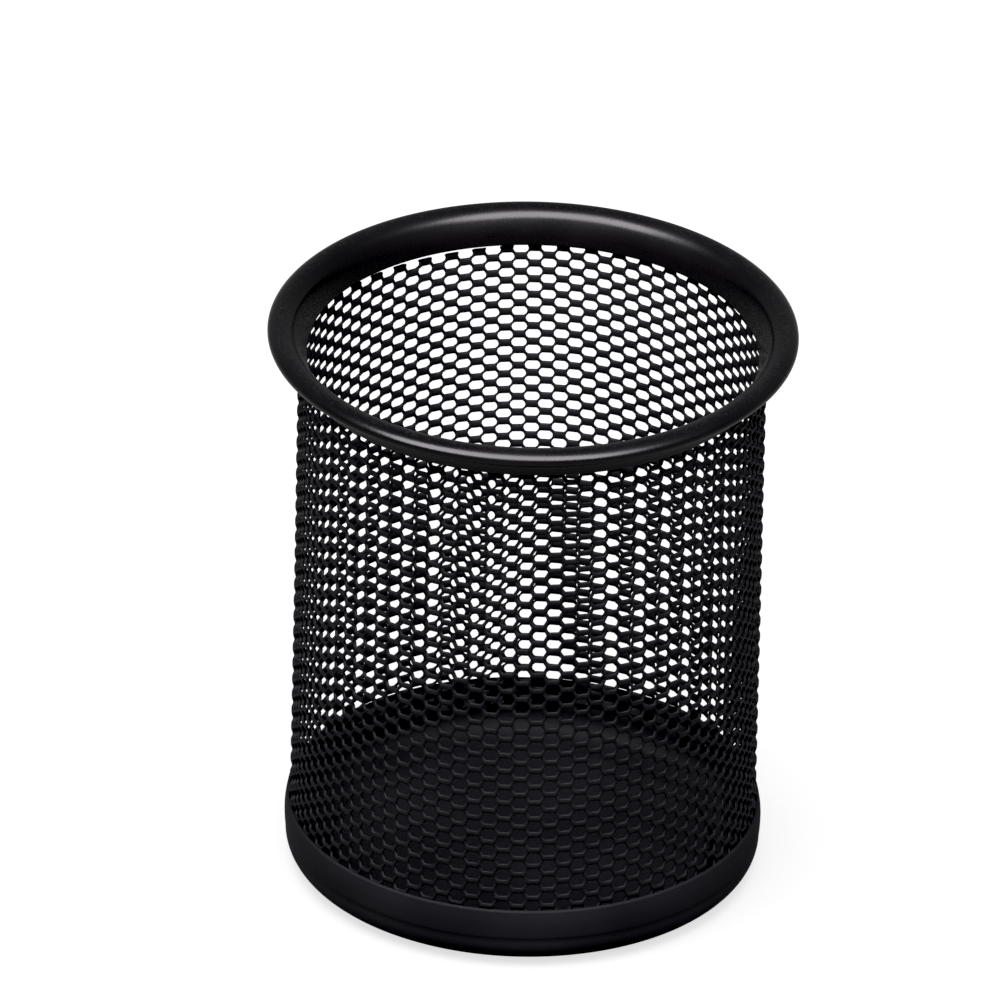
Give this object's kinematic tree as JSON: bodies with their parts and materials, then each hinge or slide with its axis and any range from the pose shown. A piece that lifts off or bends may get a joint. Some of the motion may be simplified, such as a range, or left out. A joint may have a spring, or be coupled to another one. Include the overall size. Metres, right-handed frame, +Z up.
{
  "type": "mesh pen cup",
  "caption": "Round steel-mesh desk cup for pens, with a flared solid lip, an open expanded-metal wall and a solid pressed base on small pads.",
  "frame": {"origin": "on the standing surface, at the centre of the cup's foot", "axes": "+Z up along the cup's axis, towards its open mouth; the mesh's lap lies 18 degrees from +X towards -Y"},
  "size_m": [0.0894, 0.0894, 0.1016],
  "materials": {
    "mesh": "black paint, satin, on expanded steel",
    "rim": "black paint, satin, on folded steel strip",
    "base": "black paint, satin, on pressed steel",
    "pad": "closed-cell foam rubber, matt"
  },
  "bodies": {
    "root": {"mesh_wall": "mesh", "top_rim": "rim", "base_pan": "base", "foot_pad_1": "pad", "foot_pad_2": "pad", "foot_pad_3": "pad", "foot_pad_4": "pad"}
  },
  "joints": []
}
